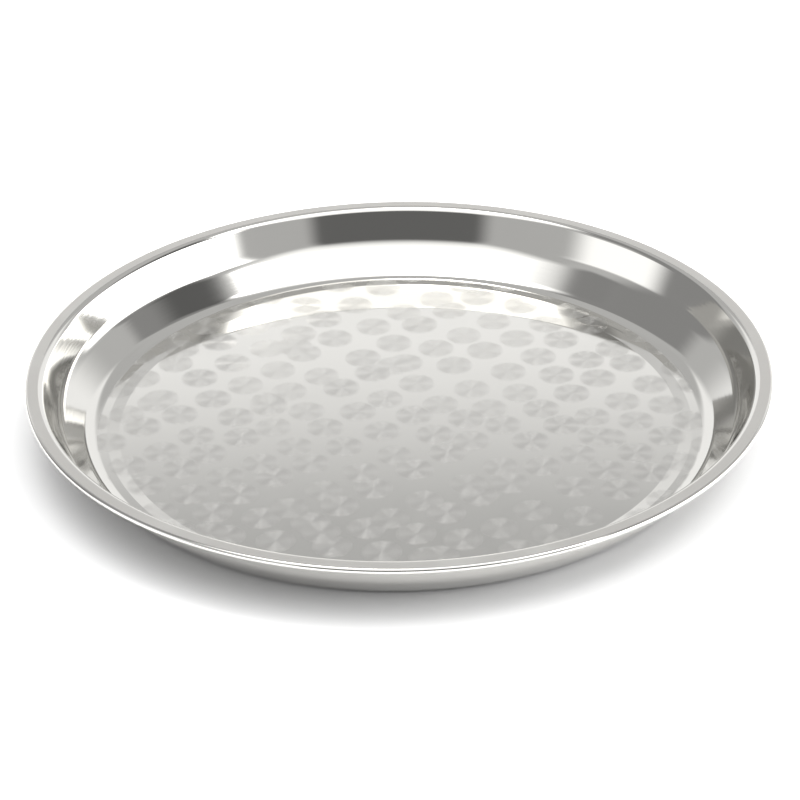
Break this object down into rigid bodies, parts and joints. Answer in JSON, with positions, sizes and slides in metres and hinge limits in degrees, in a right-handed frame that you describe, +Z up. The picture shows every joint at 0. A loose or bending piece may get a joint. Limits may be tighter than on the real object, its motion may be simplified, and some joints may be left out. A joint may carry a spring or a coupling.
{
  "type": "round serving tray",
  "caption": "Round polished steel serving tray with a swirl-brushed floor, sloping wall and a flat rim curled over a stiffening wire.",
  "frame": {"origin": "centre of the tray's underside, on the surface that it stands on", "axes": "+Z up, along the tray's axis of revolution; +X to the right and +Y away from the viewer of the picture"},
  "size_m": [0.4, 0.4, 0.0348],
  "materials": {
    "polished_steel": "mirror polish, with overlapping swirl-brushed spots on the floor",
    "wire_steel": "drawn wire"
  },
  "bodies": {
    "root": {"tray_pan": "polished_steel", "rim_wire": "wire_steel"}
  },
  "joints": []
}
